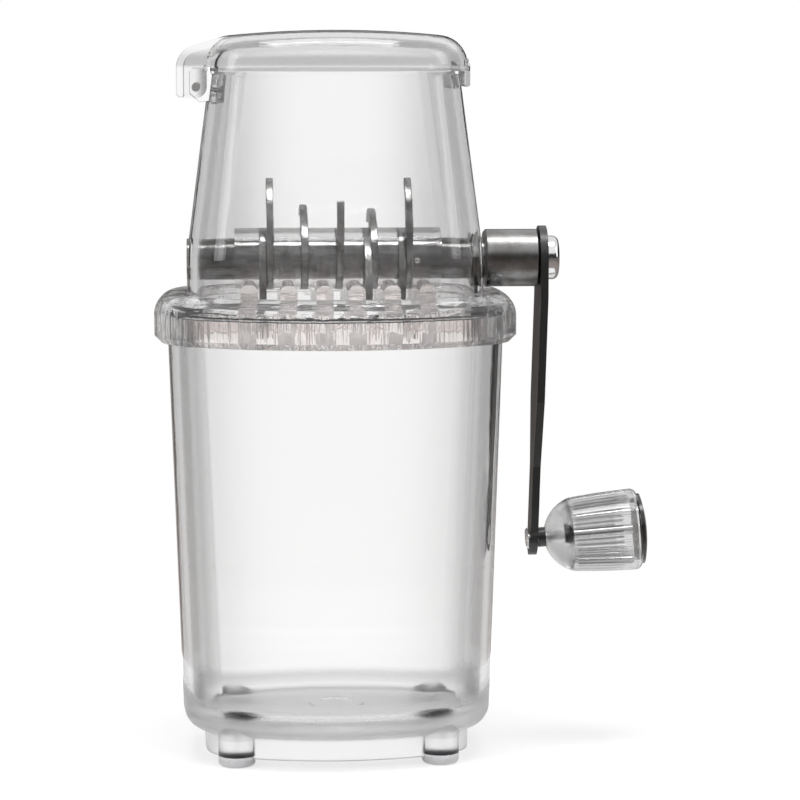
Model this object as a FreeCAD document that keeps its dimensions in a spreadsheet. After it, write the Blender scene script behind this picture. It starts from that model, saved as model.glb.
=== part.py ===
import FreeCAD, Part
import math
import os
import re
import Sketcher

# Hand crank ice crusher. Millimetres, +Z up, +X along the shaft towards the crank,
# -Y the front. The origin is on the table under the middle of the jar.

doc = FreeCAD.newDocument("IceCrusher")

# Driving dimensions
SIZES = [
    ("front_radius", "92", "bulge radius of every wall's front and back"),
    ("side_radius", "150", "bulge radius of every wall's left and right side"),

    ("foot_pad_height", "3.5", "soft pad under each foot post"),
    ("foot_diameter", "12.6", "foot post and pad"),
    ("foot_spacing_x", "69.4", "between the left and the right feet"),
    ("foot_spacing_y", "50", "between the front and the back feet"),
    ("foot_pad_round", "1.2", "rounded lower edge of a pad"),
    ("skirt_half_width", "45.5", "clear skirt between the feet"),
    ("skirt_half_depth", "33", "clear skirt between the feet"),
    ("skirt_wall", "2.2", "wall of the skirt"),
    ("skirt_corner", "16", "corner radius of the skirt seen from above"),
    ("post_sink", "4.2", "how far a foot post reaches up into the jar's floor"),
    ("skirt_clearance", "2.5", "from the table to the skirt's lower edge"),

    ("jar_bottom", "9.6", "height of the jar's underside over the table"),
    ("jar_floor", "6", "thickness of the jar's floor"),
    ("jar_height", "142.6", "from the jar's underside to its rim"),
    ("jar_wall", "3", "wall of the jar"),
    ("jar_foot_half_width", "53", "outside of the jar at its underside"),
    ("jar_foot_half_depth", "39.5", "outside of the jar at its underside"),
    ("jar_rim_half_width", "57.4", "outside of the jar at its rim"),
    ("jar_rim_half_depth", "43", "outside of the jar at its rim"),
    ("jar_corner", "22", "corner radius of the jar seen from above"),
    ("jar_foot_round", "8", "rounded edge round the jar's underside"),
    ("jar_floor_round", "7", "rounded edge round the jar's floor"),
    ("floor_ring_outer", "19", "raised ring in the middle of the floor"),
    ("floor_ring_inner", "11", "raised ring in the middle of the floor"),
    ("floor_ring_rise", "0.6", "height of that ring"),

    ("fit_gap", "0.1", "gap between fixed pieces that fit into each other"),
    ("press_gap", "0.02", "radial gap between pieces pressed or pushed together"),
    ("join_depth", "1", "how far the forms that make one piece reach into each other"),
    ("cut_room", "1", "how far a cutting form stands past what it cuts"),
    ("rim_gap", "0.4", "gap between the jar's rim and the pieces round it"),
    ("collar_half_width", "61.8", "outside of the collar"),
    ("collar_half_depth", "47", "outside of the collar"),
    ("collar_corner", "26", "corner radius of the collar seen from above"),
    ("collar_drop", "8.8", "how far the collar reaches below the jar's rim"),
    ("collar_height", "16.1", "from the collar's lower edge to its top"),
    ("collar_round", "7.5", "rounded shoulder of the collar"),
    ("collar_edge", "2.2", "chamfer round the collar's lower edge"),
    ("latch_depth", "2.6", "recess of the latch in the collar's ends"),
    ("latch_width", "17", "recess of the latch in the collar's ends"),
    ("latch_height", "7", "recess of the latch in the collar's ends"),
    ("latch_low", "1.4", "from the collar's lower edge to the latch recess"),
    ("latch_pip", "4.6", "round pip in the latch recess"),
    ("latch_pip_rise", "1.9", "round pip in the latch recess"),
    ("flange_thickness", "3.5", "hopper flange inside the collar"),

    ("hopper_half_width", "50.5", "outside of the hopper at its foot"),
    ("hopper_half_depth", "37", "outside of the hopper at its foot"),
    ("hopper_corner", "20", "corner radius of the hopper's foot"),
    ("hopper_top_half_width", "42.4", "outside of the hopper at its top"),
    ("hopper_top_half_depth", "31", "outside of the hopper at its top"),
    ("hopper_top_corner", "17", "corner radius of the hopper's top"),
    ("hopper_wall", "3", "wall of the hopper"),
    ("hopper_foot_height", "19.4", "from the flange to where the taper begins"),
    ("hopper_rise", "61.2", "from there to the hopper's top edge"),
    ("rim_step_height", "1", "inner step of the hopper's top edge, under the lid"),
    ("rim_step_wall", "1.4", "wall of that step"),

    ("shaft_rise", "17.9", "from the flange up to the shaft's axis"),
    ("shaft_diameter", "14", "steel shaft"),
    ("shaft_flat", "1.2", "depth of the flat that drives the blades"),
    ("journal_diameter", "9", "left end of the shaft, in its bearing"),
    ("journal_step", "8.3", "from the hopper's left outside to the shaft's step"),
    ("journal_chamfer", "0.8", "chamfer round the shaft's left end"),
    ("running_gap", "0.08", "radial clearance of a shaft in its bearing"),
    ("end_gap", "0.3", "end float beside a turning face"),
    ("hub_diameter", "21", "clear hub sleeves"),
    ("hub_left", "34", "from the middle to the hub's left end"),
    ("hub_right", "35.7", "from the middle to the hub's right end"),
    ("blade_thickness", "2.4", "each claw"),
    ("blade_pitch", "11.73", "from one blade station to the next"),
    ("first_blade", "-22.1", "middle of the first upright claw"),
    ("horn_reach", "27.5", "from the shaft's axis to a horn's tip"),
    ("horn_width", "4.6", "width of a horn at its root"),
    ("horn_root_drop", "3.6", "how far below the shaft a horn leaves its ring"),
    ("horn_lean", "1.6", "how far the horn's outer tip leans to the back"),
    ("horn_inner_radius", "22", "hollow side of a horn"),
    ("horn_outer_radius", "25.3", "bulging side of a horn"),
    ("horn_tip", "2.5", "width of a horn's blunt tip"),
    ("horn_cut", "45", "degrees that the blunt tip slants"),
    ("ring_seam", "0.01", "how far beside the axis the arcs of a claw's ring meet"),
    ("lock_pin_diameter", "1.8", "cross pin of the hub"),
    ("lock_pin_place", "27.4", "from the middle to the cross pin"),

    ("bar_width", "5.6", "fixed bar of the grate"),
    ("bar_round", "2.4", "rounded upper edges of a bar's outer ends"),
    ("bar_gap", "1.3", "from the hub to the bars under it"),
    ("end_bar_gap", "0.7", "from the outermost claws to the bars beside them"),
    ("bar_shoulder_drop", "6.5", "from the shaft's axis down to the bars' outer ends"),
    ("grate_drop", "9.6", "how far the grate hangs below the flange"),
    ("grate_rim", "7.5", "width of the grate's frame"),
    ("grate_screw_diameter", "3", "screws under the grate"),
    ("grate_screw_head", "5.6", "heads of those screws"),
    ("grate_screw_head_height", "2", "heads of those screws"),
    ("grate_screw_point", "1", "length of those screws' points"),
    ("screw_room", "0.2", "room round and over those heads"),
    ("grate_screw_depth", "2.4", "how far those screws reach into the flange"),

    ("lid_gap", "0.3", "gap between the closed lid and the hopper's step"),
    ("lid_half_width", "45", "outside of the lid"),
    ("lid_half_depth", "33.8", "outside of the lid"),
    ("lid_corner", "18.5", "corner radius of the lid seen from above"),
    ("lid_height", "13.6", "from the lid's lower edge to its top"),
    ("lid_wall", "2.2", "wall of the lid"),
    ("lid_round", "10", "rounded shoulder of the lid"),
    ("lid_crown_radius", "360", "bulge radius of the lid's top from left to right"),
    ("lip_thickness", "0.8", "bead round the lid's lower edge"),
    ("lip_height", "1.6", "bead round the lid's lower edge"),
    ("tab_half_width", "13", "finger tab at the lid's right"),
    ("tab_drop", "5.4", "how far the tab hangs below the lid's edge"),
    ("tab_stand", "0.3", "how far the tab stands out of the lid's side"),
    ("tab_wall", "1.9", "wall of the tab"),
    ("tab_edge", "0.6", "chamfers along the tab's lower edge"),
    ("tab_rise", "4", "how far up the lid's side the tab begins"),
    ("tab_sink", "0.3", "how far the tab's upper end lies inside the lid's side"),
    ("hood_half_width", "17", "hood over the hinge"),
    ("hood_wall", "2.3", "wall of the hood"),
    ("hood_stand", "6.6", "from the hinge pin to the hood's outside"),
    ("hood_drop", "3.4", "from the hinge pin down to the hood's lower edge"),
    ("hood_rise", "6.4", "from the hinge pin up to the centre of the hood's corner"),
    ("hood_round", "7.6", "rounded upper corner of the hood"),
    ("hood_slope", "20.8", "degrees that the hood's top falls where it meets its corner"),
    ("hood_top_radius", "69", "bulge radius of the hood's top"),
    ("hood_root", "22", "from the hood's outside to where its top leaves the lid's"),
    ("hood_sink", "0.1", "how far the hood's root lies below the lid's top"),
    ("hood_hollow_reach", "7", "from the lid's side in to the end of the hood's hollow"),
    ("hood_cheek_round", "3.6", "rounding of the cheeks about the pin"),
    ("hood_edge", "0.8", "chamfer along the hood's lower edge"),

    ("hinge_reach", "4.4", "from the hopper's top edge out to the hinge pin"),
    ("hinge_drop", "4.1", "from the hopper's top edge down to the hinge pin"),
    ("hinge_pin_diameter", "2.8", "hinge pin"),
    ("hinge_pin_stand", "0.5", "how far the hinge pin stands out of the hood's cheeks"),
    ("ear_stand", "2.2", "from the hinge pin to the ear's outside"),
    ("ear_rise", "6.2", "from the hinge pin up to the ear's top"),
    ("ear_drop", "5", "from the hinge pin down to the ear's underside"),
    ("ear_side_gap", "0.3", "gap between the ear and the hood's cheeks"),
    ("ear_root", "5.4", "from the hinge pin back to where the ear stands on the rim"),
    ("ear_slant", "1", "slant of the ear's back and of its corners"),

    ("bush_diameter", "19.7", "satin sleeve between hopper and arm"),
    ("bush_length", "18.9", "satin sleeve between hopper and arm"),
    ("bush_gap", "0.5", "from the hopper's side to the sleeve"),
    ("bush_chamfer", "0.8", "chamfered ends of the sleeve"),
    ("tenon_width", "8", "square end of the shaft in the arm"),
    ("arm_thickness", "2.6", "flat arm"),
    ("arm_top_radius", "11", "rounded upper end of the arm"),
    ("arm_waist_width", "11", "width of the arm's lower half"),
    ("arm_shoulder_drop", "49", "from the shaft to where the arm begins to narrow"),
    ("arm_waist_drop", "72", "from the shaft to where the arm is narrow"),
    ("arm_bend_drop", "13", "from the shaft to the bend under the sleeve"),
    ("arm_lean", "1.7", "degrees that the arm leans in below its bend"),
    ("throw", "97.6", "from the shaft down to the knob's spindle"),
    ("arm_foot_radius", "6", "rounded lower end of the arm"),
    ("screw_head_diameter", "15", "screw at the arm's upper end"),
    ("screw_head_height", "4.3", "screw at the arm's upper end"),
    ("screw_shank_diameter", "6", "screw at the arm's upper end"),
    ("screw_shank_length", "16", "reach of the screw into the shaft"),
    ("screw_head_round", "2", "rounded rim of the screw's head"),
    ("screw_slot_width", "1.6", "driver slot of the screw"),
    ("screw_slot_depth", "1.4", "driver slot of the screw"),

    ("knob_tilt", "4.5", "degrees that the knob points up to the right"),
    ("spindle_diameter", "3.2", "spindle of the knob"),
    ("spindle_room", "1", "from the spindle's end to the cap"),
    ("rivet_diameter", "7.4", "head of the spindle inside the arm"),
    ("rivet_height", "0.7", "head of the spindle inside the arm"),
    ("skew_gap", "0.45", "room beside the arm for the tilted rivet head and washer"),
    ("neck_washer_diameter", "6.8", "washer between arm and knob"),
    ("neck_washer_thickness", "2.6", "washer between arm and knob"),
    ("knob_length", "32.2", "clear grip"),
    ("knob_neck_radius", "4.4", "clear grip at the washer"),
    ("knob_dome_radius", "12.8", "clear grip where its dome ends"),
    ("knob_dome_length", "9", "clear grip, length of its dome"),
    ("knob_dome_round", "14", "bulge radius of the dome"),
    ("knob_wide_radius", "14.1", "clear grip at its widest"),
    ("knob_wide_place", "30.6", "clear grip, from its neck to its widest"),
    ("knob_end_radius", "12.9", "clear grip at its end"),
    ("knob_wall", "2.5", "wall of the clear grip"),
    ("knob_end_round", "2", "rounded corner round the grip's end"),
    ("knob_side_radius", "260", "bulge radius of the grip's side"),
    ("knob_boss_radius", "5.6", "solid neck of the clear grip, inside its dome"),
    ("knob_boss_length", "7", "solid neck of the clear grip, with its bore"),
    ("flute_count", "44", "flutes inside the grip"),
    ("flute_depth", "0.5", "flutes inside the grip"),
    ("flute_inset", "0.4", "from a flute's outer end to the ledge"),
    ("flute_start", "1", "from the dome to where the flutes begin"),
    ("flute_clear", "0.3", "how far a flute's cutter stands inside the grip's hollow"),
    ("cap_inset", "1", "how deep the cap lies in the grip's end"),
    ("cap_thickness", "2.2", "plate of the cap"),
    ("cap_crown", "1.6", "rise of the cap's middle"),
    ("cap_rim", "0.6", "clear rim round the cap"),
    ("cap_ledge_depth", "2", "thickness of the clear ledge behind the cap"),
    ("cap_ledge_width", "1.4", "how far that ledge reaches in behind the cap"),
    ("clip_diameter", "6.4", "clip on the spindle inside the grip"),
    ("clip_thickness", "1", "clip on the spindle inside the grip"),
]

sheet = doc.addObject("Spreadsheet::Sheet", "Sizes")
for row, (alias, value, meaning) in enumerate(SIZES, start=1):
    sheet.set(f"A{row}", meaning)
    sheet.set(f"B{row}", value)
    sheet.setAlias(f"B{row}", alias)
doc.recompute()

# Tolerances of the checks below, in cubic millimetres and millimetres
LEAST_CUT = 1e-6
SAME_LEVEL = 1e-3

NAMES = sorted((alias for alias, value, meaning in SIZES), key=len, reverse=True)
SIZE_NAME = re.compile(r"\b(" + "|".join(NAMES) + r")\b")


# Levels and places that follow from the sizes
LEVELS = {
    "floor_level": "(jar_bottom + jar_floor)",
    "jar_rim": "(jar_bottom + jar_height)",
    "flange_level": "(jar_rim + rim_gap)",
    "collar_bottom": "(jar_rim - collar_drop)",
    "hopper_knee": "(flange_level + hopper_foot_height)",
    "hopper_top": "(hopper_knee + hopper_rise)",
    "lid_level": "(hopper_top + rim_step_height + lid_gap)",
    "shaft_height": "(flange_level + shaft_rise)",
    "bar_shoulder": "(shaft_height - bar_shoulder_drop)",
    "grate_bottom": "(flange_level - grate_drop)",
    "tab_reach": "(lid_half_width + tab_stand)",
    "hinge_x": "(hopper_top_half_width + hinge_reach)",
    "hinge_height": "(hopper_top - hinge_drop)",
    "hood_reach": "(hinge_x + hood_stand)",
    "hood_bottom": "(hinge_height - hood_drop)",
    "hood_shoulder": "(hinge_height + hood_rise)",
    "ear_reach": "(hinge_x + ear_stand)",
    "ear_top": "(hinge_height + ear_rise)",
    "ear_bottom": "(hinge_height - ear_drop)",
    "bush_start": "(hopper_half_width + bush_gap)",
    "bush_end": "(bush_start + bush_length)",
    "arm_outside": "(bush_end + arm_thickness)",
}
LEVEL_NAME = re.compile(r"\b(" + "|".join(LEVELS) + r")\b")


def bound(formula):
    """The formula with its levels written out and every size led by its sheet's name."""
    while LEVEL_NAME.search(formula):
        formula = LEVEL_NAME.sub(lambda found: LEVELS[found.group(0)], formula)
    return SIZE_NAME.sub(lambda found: f"Sizes.{found.group(0)}", formula)


def number(formula):
    """What the formula comes to with the sizes as they are."""
    return float(sheet.evalExpression(bound(formula)))


def place(thing, x="0", y="0", z="0"):
    """Ties where a piece sits to formulas."""
    for axis, formula in zip("xyz", (x, y, z)):
        thing.setExpression(f"Placement.Base.{axis}", bound(formula))


def new_body(name):
    body = doc.addObject("PartDesign::Body", name)
    body.Label = name
    return body


def new_sketch(body, name, plane, offset):
    """A sketch on one of the body's own planes, moved along the plane's normal."""
    support = next(item for item in body.Origin.OriginFeatures if item.Role == plane)
    sketch = body.newObject("Sketcher::SketchObject", f"{body.Name}_{name}")
    sketch.AttachmentSupport = (support, [""])
    sketch.MapMode = "FlatFace"
    sketch.setExpression("AttachmentOffset.Base.z", bound(offset))
    return sketch


def hold(sketch, formula, *what):
    """A dimension of the sketch, tied to a formula."""
    index = sketch.addConstraint(Sketcher.Constraint(*what, number(formula)))
    sketch.setExpression(f"Constraints[{index}]", bound(formula))


def oval(body, name, level, half_width, half_depth, corner, inset="0"):
    """Bulged rounded rectangle: four shallow arcs joined by four tangent corner arcs.

    An inset moves the whole outline inwards, as the inside of a wall.
    """
    sketch = new_sketch(body, name, "XY_Plane", level)
    half_width, half_depth, corner, front, side = (
        f"({size} - ({inset}))"
        for size in (half_width, half_depth, corner, "front_radius", "side_radius")
    )
    side_centre = number(f"{side} - {half_width}")
    front_centre = number(f"{front} - {half_depth}")
    from_side = number(f"{side} - {corner}")
    from_front = number(f"{front} - {corner}")
    apart = math.hypot(side_centre, front_centre)
    along = (from_side ** 2 - from_front ** 2 + apart ** 2) / (2 * apart)
    across = math.sqrt(from_side ** 2 - along ** 2)
    corner_x = -side_centre + (along * side_centre + across * front_centre) / apart
    corner_y = (along * front_centre - across * side_centre) / apart
    corner_y = abs(corner_y)
    side_turn = math.atan2(corner_y, corner_x + side_centre)
    front_turn = math.atan2(corner_y + front_centre, corner_x)
    quarter = math.pi / 2
    arcs = [
        (-side_centre, 0, side, -side_turn, side_turn),
        (corner_x, corner_y, corner, side_turn, front_turn),
        (0, -front_centre, front, front_turn, 2 * quarter - front_turn),
        (-corner_x, corner_y, corner, 2 * quarter - front_turn, 2 * quarter - side_turn),
        (side_centre, 0, side, 2 * quarter - side_turn, 2 * quarter + side_turn),
        (-corner_x, -corner_y, corner, 2 * quarter + side_turn, 2 * quarter + front_turn),
        (0, front_centre, front, 2 * quarter + front_turn, 4 * quarter - front_turn),
        (corner_x, -corner_y, corner, 4 * quarter - front_turn, 4 * quarter - side_turn),
    ]
    up = FreeCAD.Vector(0, 0, 1)
    for x, y, radius, start, end in arcs:
        circle = Part.Circle(FreeCAD.Vector(x, y, 0), up, number(radius))
        sketch.addGeometry(Part.ArcOfCircle(circle, start, end), False)
    for index, (x, y, radius, start, end) in enumerate(arcs):
        sketch.addConstraint(Sketcher.Constraint("Tangent", index, 2, (index + 1) % 8, 1))
        hold(sketch, radius, "Radius", index)
    right, back, left, front_arc = 0, 2, 4, 6
    for index, axis in ((right, -1), (left, -1), (back, -2), (front_arc, -2)):
        sketch.addConstraint(Sketcher.Constraint("PointOnObject", index, 3, axis))
    hold(sketch, f"{side} - {half_width}", "DistanceX", right, 3, -1, 1)
    hold(sketch, f"{side} - {half_width}", "DistanceX", -1, 1, left, 3)
    hold(sketch, f"{front} - {half_depth}", "DistanceY", back, 3, -1, 1)
    hold(sketch, f"{front} - {half_depth}", "DistanceY", -1, 1, front_arc, 3)
    return sketch


def profile(body, name, plane, points, offset="0"):
    """Closed outline through points given as formulas.

    A point's third entry is the radius of the arc that leaves it: counterclockwise
    where the radius is positive, clockwise where it is led by a minus sign.
    """
    sketch = new_sketch(body, name, plane, offset)
    corners = [FreeCAD.Vector(number(point[0]), number(point[1]), 0) for point in points]
    ends = []
    for index, point in enumerate(points):
        start, end = corners[index], corners[(index + 1) % len(points)]
        if len(point) == 2:
            sketch.addGeometry(Part.LineSegment(start, end), False)
            ends.append((1, 2))
            continue
        clockwise = point[2].startswith("-")
        radius = abs(number(point[2]))
        chord = end - start
        rise = math.sqrt(radius ** 2 - (chord.Length / 2) ** 2)
        normal = FreeCAD.Vector(-chord.y, chord.x, 0).normalize()
        centre = start + chord * 0.5 + normal * (-rise if clockwise else rise)
        first, last = (end, start) if clockwise else (start, end)
        circle = Part.Circle(centre, FreeCAD.Vector(0, 0, 1), radius)
        angles = [math.atan2(spot.y - centre.y, spot.x - centre.x) for spot in (first, last)]
        sketch.addGeometry(Part.ArcOfCircle(circle, angles[0], angles[1]), False)
        ends.append((2, 1) if clockwise else (1, 2))
    for index, point in enumerate(points):
        following = (index + 1) % len(points)
        sketch.addConstraint(
            Sketcher.Constraint("Coincident", index, ends[index][1], following, ends[following][0])
        )
        hold(sketch, point[0], "DistanceX", -1, 1, index, ends[index][0])
        hold(sketch, point[1], "DistanceY", -1, 1, index, ends[index][0])
        if len(point) == 3:
            hold(sketch, point[2].lstrip("-"), "Radius", index)
    return sketch


def rectangle(body, name, plane, left, bottom, right, top, offset="0"):
    points = [(left, bottom), (right, bottom), (right, top), (left, top)]
    return profile(body, name, plane, points, offset)


def circle_sketch(body, name, plane, diameter, offset="0", x="0", y="0"):
    sketch = new_sketch(body, name, plane, offset)
    centre = FreeCAD.Vector(number(x), number(y), 0)
    sketch.addGeometry(Part.Circle(centre, FreeCAD.Vector(0, 0, 1), number(diameter) / 2), False)
    hold(sketch, x, "DistanceX", -1, 1, 0, 3)
    hold(sketch, y, "DistanceY", -1, 1, 0, 3)
    hold(sketch, f"({diameter}) / 2", "Radius", 0)
    return sketch


def pad(body, name, sketch, length, symmetric=False):
    feature = body.newObject("PartDesign::Pad", f"{body.Name}_{name}")
    feature.Profile = sketch
    feature.SideType = "Symmetric" if symmetric else "One side"
    feature.setExpression("Length", bound(length))
    body.Tip = feature
    return feature


def pocket(body, name, sketch, length, symmetric=False, onward=False):
    """Cuts the sketch away against its normal, or onward along it."""
    doc.recompute()
    before = body.Shape.Volume
    feature = body.newObject("PartDesign::Pocket", f"{body.Name}_{name}")
    feature.Profile = sketch
    feature.SideType = "Symmetric" if symmetric else "One side"
    feature.Reversed = onward
    feature.setExpression("Length", bound(length))
    body.Tip = feature
    doc.recompute()
    if body.Shape.Volume > before - LEAST_CUT:
        raise RuntimeError(f"{feature.Name} cuts nothing")
    return feature


def loft(body, name, lower, upper):
    feature = body.newObject("PartDesign::AdditiveLoft", f"{body.Name}_{name}")
    feature.Profile = lower
    feature.Sections = [upper]
    feature.Ruled = True
    body.Tip = feature
    return feature


def revolve(body, name, sketch, axis="H_Axis"):
    feature = body.newObject("PartDesign::Revolution", f"{body.Name}_{name}")
    feature.Profile = sketch
    feature.ReferenceAxis = (sketch, [axis])
    feature.Angle = 360
    body.Tip = feature
    return feature


def dress(body, kind, name, size, chosen):
    """A fillet or chamfer on the edges of the body's last feature that are chosen."""
    doc.recompute()
    base = body.Tip
    edges = [f"Edge{index}" for index, edge in enumerate(base.Shape.Edges, 1) if chosen(edge)]
    if not edges:
        raise RuntimeError(f"{body.Name} has no edge for its {name}")
    feature = body.newObject(f"PartDesign::{kind}", f"{body.Name}_{name}")
    feature.Base = (base, edges)
    feature.setExpression("Radius" if kind == "Fillet" else "Size", bound(size))
    body.Tip = feature
    return feature


def at_level(formula, axis="Z"):
    """Chooses the edges that lie flat at a level along an axis."""
    level = number(formula)

    def chosen(edge):
        box = edge.BoundBox
        low, high = getattr(box, f"{axis}Min"), getattr(box, f"{axis}Max")
        return abs(low - level) < SAME_LEVEL and abs(high - level) < SAME_LEVEL

    return chosen


def rod(name, diameter, length, x="0", y="0", z="0", along="Z"):
    """A plain cylinder that starts at x, y, z and runs along an axis."""
    cylinder = doc.addObject("Part::Cylinder", name)
    cylinder.setExpression("Radius", bound(f"({diameter}) / 2"))
    cylinder.setExpression("Height", bound(length))
    turns = {"X": FreeCAD.Rotation(FreeCAD.Vector(0, 1, 0), 90),
             "Y": FreeCAD.Rotation(FreeCAD.Vector(1, 0, 0), -90),
             "Z": FreeCAD.Rotation()}
    cylinder.Placement = FreeCAD.Placement(FreeCAD.Vector(), turns[along])
    place(cylinder, x, y, z)
    return cylinder


def box(name, length, width, height, x, y, z):
    block = doc.addObject("Part::Box", name)
    for side, formula in (("Length", length), ("Width", width), ("Height", height)):
        block.setExpression(side, bound(formula))
    place(block, x, y, z)
    return block


def cut(name, base, tool):
    result = doc.addObject("Part::Cut", name)
    result.Base = base
    result.Tool = tool
    result.Refine = True
    return result


def fuse(name, *pieces):
    result = doc.addObject("Part::MultiFuse", name)
    result.Shapes = list(pieces)
    result.Refine = True
    return result


def common(name, first, second):
    result = doc.addObject("Part::Common", name)
    result.Base = first
    result.Tool = second
    return result


nodes = []


def keep(piece):
    """Marks a finished piece, which is written out under its label."""
    nodes.append(piece)
    return piece


def oval_block(name, level, length, half_width, half_depth, corner, inset="0"):
    """A straight block with the bulged outline."""
    body = new_body(name)
    outline = oval(body, "outline", level, half_width, half_depth, corner, inset)
    pad(body, "pad", outline, length)
    return body


def oval_ring(name, level, length, half_width, half_depth, corner, wall, inset="0"):
    """A straight ring with the bulged outline and an even wall."""
    body = oval_block(name, level, length, half_width, half_depth, corner, inset)
    inside = oval(body, "inside", level, half_width, half_depth, corner, f"({inset}) + ({wall})")
    pocket(body, "hollow", inside, length, onward=True)
    return body


# Jar
def jar_form(name, level, rounding, inset):
    """Straight rounded foot and tapered wall of the jar, or of its inside."""
    body = new_body(name)
    straight = f"({rounding} + join_depth)"
    knee = f"({level} + {straight})"
    foot = oval(body, "foot", level, "jar_foot_half_width", "jar_foot_half_depth",
                "jar_corner", inset)
    pad(body, "straight", foot, straight)
    dress(body, "Fillet", "round", rounding, at_level(level))
    lower = oval(body, "knee", knee, "jar_foot_half_width", "jar_foot_half_depth",
                 "jar_corner", inset)
    rim = oval(body, "rim", "jar_rim", "jar_rim_half_width", "jar_rim_half_depth",
               "jar_corner", inset)
    loft(body, "wall", lower, rim)
    return body


def make_container():
    outside = jar_form("jar_outside", "jar_bottom", "jar_foot_round", "0")
    inside = jar_form("jar_inside", "floor_level", "jar_floor_round", "jar_wall")
    shell = cut("jar_shell", outside, inside)
    skirt = oval_ring("jar_skirt", "skirt_clearance", "jar_bottom - skirt_clearance + join_depth",
                      "skirt_half_width", "skirt_half_depth", "skirt_corner", "skirt_wall")
    posts = [
        rod(f"foot_post_{side}", "foot_diameter", "jar_bottom + post_sink - foot_pad_height",
            x, y, "foot_pad_height")
        for side, x, y in FEET
    ]
    ring = new_body("floor_ring")
    pad(ring, "pad", circle_sketch(ring, "outline", "XY_Plane", "floor_ring_outer", "floor_level"),
        "floor_ring_rise")
    inner = circle_sketch(ring, "inside", "XY_Plane", "floor_ring_inner", "floor_level")
    pocket(ring, "hollow", inner, "floor_ring_rise", onward=True)
    pad_rooms = [
        rod(f"pad_room_{side}", "foot_diameter + 2 * end_gap", "foot_pad_height", x, y)
        for side, x, y in FEET
    ]
    whole = fuse("jar_whole", shell, skirt, ring, *posts)
    keep(cut("container", whole, fuse("pad_rooms", *pad_rooms)))


FEET = [
    ("front_left", "-foot_spacing_x / 2", "-foot_spacing_y / 2"),
    ("front_right", "foot_spacing_x / 2", "-foot_spacing_y / 2"),
    ("back_left", "-foot_spacing_x / 2", "foot_spacing_y / 2"),
    ("back_right", "foot_spacing_x / 2", "foot_spacing_y / 2"),
]


def make_foot_pads():
    for side, x, y in FEET:
        body = new_body(f"foot_pad_{side}")
        pad(body, "pad", circle_sketch(body, "outline", "XY_Plane", "foot_diameter"),
            "foot_pad_height")
        dress(body, "Fillet", "round", "foot_pad_round", at_level("0"))
        place(body, x, y)
        keep(body)


# Collar and hopper
def make_collar():
    outside = oval_block("collar_outside", "collar_bottom", "collar_height",
                         "collar_half_width", "collar_half_depth", "collar_corner")
    dress(outside, "Fillet", "shoulder", "collar_round",
          at_level("collar_bottom + collar_height"))
    dress(outside, "Chamfer", "edge", "collar_edge", at_level("collar_bottom"))
    cavity = oval_block("collar_cavity", "collar_bottom",
                        "flange_level + flange_thickness + fit_gap - collar_bottom",
                        "jar_rim_half_width", "jar_rim_half_depth", "jar_corner", "-rim_gap")
    throat = oval_block("collar_throat", "collar_bottom", "collar_height",
                        "hopper_half_width", "hopper_half_depth", "hopper_corner", "-fit_gap")
    recesses = []
    pips = []
    pip_height = "collar_bottom + latch_low + latch_height / 2"
    bottom = "collar_half_width - latch_depth"
    for side, block_start, pip_start in (
        ("left", "-(collar_half_width + cut_room)", f"-({bottom} + latch_pip_rise)"),
        ("right", bottom, f"{bottom} - join_depth"),
    ):
        recesses.append(box(f"latch_recess_{side}", "latch_depth + cut_room", "latch_width",
                            "latch_height", block_start, "-latch_width / 2",
                            "collar_bottom + latch_low"))
        pips.append(rod(f"latch_pip_{side}", "latch_pip", "latch_pip_rise + join_depth",
                        pip_start, "0", pip_height, along="X"))
    hollow = fuse("collar_hollow", cavity, throat, *recesses)
    keep(fuse("collar", cut("collar_shell", outside, hollow), *pips))


def hopper_form(name, inset):
    """Straight foot and tapered upper part of the hopper, or of its inside."""
    body = new_body(name)
    foot = oval(body, "foot", "flange_level", "hopper_half_width", "hopper_half_depth",
                "hopper_corner", inset)
    pad(body, "straight", foot, "hopper_knee - flange_level")
    knee = oval(body, "knee", "hopper_knee", "hopper_half_width", "hopper_half_depth",
                "hopper_corner", inset)
    top = oval(body, "top", "hopper_top", "hopper_top_half_width", "hopper_top_half_depth",
               "hopper_top_corner", inset)
    loft(body, "taper", knee, top)
    return body


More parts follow.
